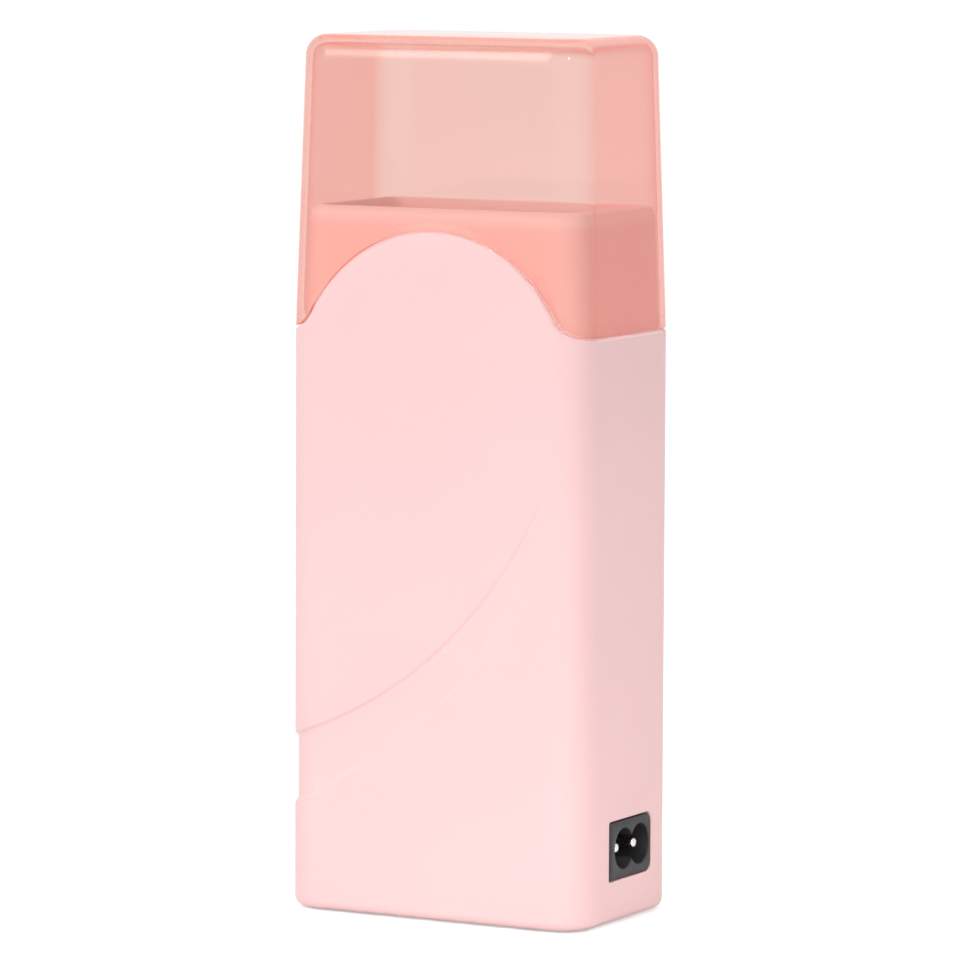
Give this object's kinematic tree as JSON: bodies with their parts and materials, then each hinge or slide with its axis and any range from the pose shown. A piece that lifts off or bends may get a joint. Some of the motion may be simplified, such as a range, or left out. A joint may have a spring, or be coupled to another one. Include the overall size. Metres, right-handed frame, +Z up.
{
  "type": "wax heater",
  "caption": "Upright roll-on wax cartridge heater: a slim moulded housing round a heated well, with a clear lift-off cap and a figure-8 mains inlet.",
  "frame": {"origin": "middle of the plane that the rubber feet stand on, under the middle of the housing", "axes": "+Z up along the heater towards the cap, +Y towards the back cover, +X towards the side with the mains inlet"},
  "size_m": [0.0734, 0.046, 0.192],
  "materials": {
    "shell_plastic": "pale pink moulded plastic, satin",
    "cap_clear": "clear plastic, tinted coral, polished",
    "inlet_plastic": "black moulded plastic",
    "pin_nickel": "nickel plated",
    "screw_steel": "zinc plated",
    "well_aluminium": "drawn sheet",
    "mica_sheet": "mica sheet",
    "electrode_brass": "thin rolled strip",
    "holder_plastic": "heat resistant plastic",
    "heater_ceramic": "sintered, unglazed",
    "spring_steel": "spring strip",
    "switch_plastic": "black phenolic",
    "fuse_sleeve": "woven glass sleeve",
    "lead_brown": "insulated wire",
    "lead_blue": "insulated wire",
    "lead_white": "glass braided wire",
    "foot_rubber": "soft rubber"
  },
  "bodies": {
    "housing": {"front_shell": "shell_plastic", "rear_cover": "shell_plastic", "cover_screw_left": "screw_steel", "cover_screw_right": "screw_steel", "neck_collar": "shell_plastic", "cartridge_well": "well_aluminium", "insulation_front": "mica_sheet", "electrode_front": "electrode_brass", "ptc_holder": "holder_plastic", "ptc_tablet_lower": "heater_ceramic", "ptc_tablet_middle": "heater_ceramic", "ptc_tablet_upper": "heater_ceramic", "electrode_rear": "electrode_brass", "insulation_rear": "mica_sheet", "heater_clamp": "spring_steel", "thermostat": "switch_plastic", "thermostat_clip": "spring_steel", "thermal_fuse": "fuse_sleeve", "fuse_clip": "spring_steel", "inlet_housing": "inlet_plastic", "inlet_pin_front": "pin_nickel", "inlet_pin_rear": "pin_nickel", "inlet_bracket": "spring_steel", "bracket_screw_upper": "screw_steel", "bracket_screw_lower": "screw_steel", "lead_live": "lead_brown", "lead_neutral": "lead_blue", "lead_thermostat": "lead_white", "lead_fuse": "lead_white", "foot_front_left": "foot_rubber", "foot_front_right": "foot_rubber", "foot_rear_left": "foot_rubber", "foot_rear_right": "foot_rubber"},
    "cap": {"cap": "cap_clear"}
  },
  "joints": [
    {"name": "cap_lift", "type": "slide", "parent": "housing", "child": "cap", "axis": [0, 0, 1], "range_m": [0, 0.065]}
  ]
}
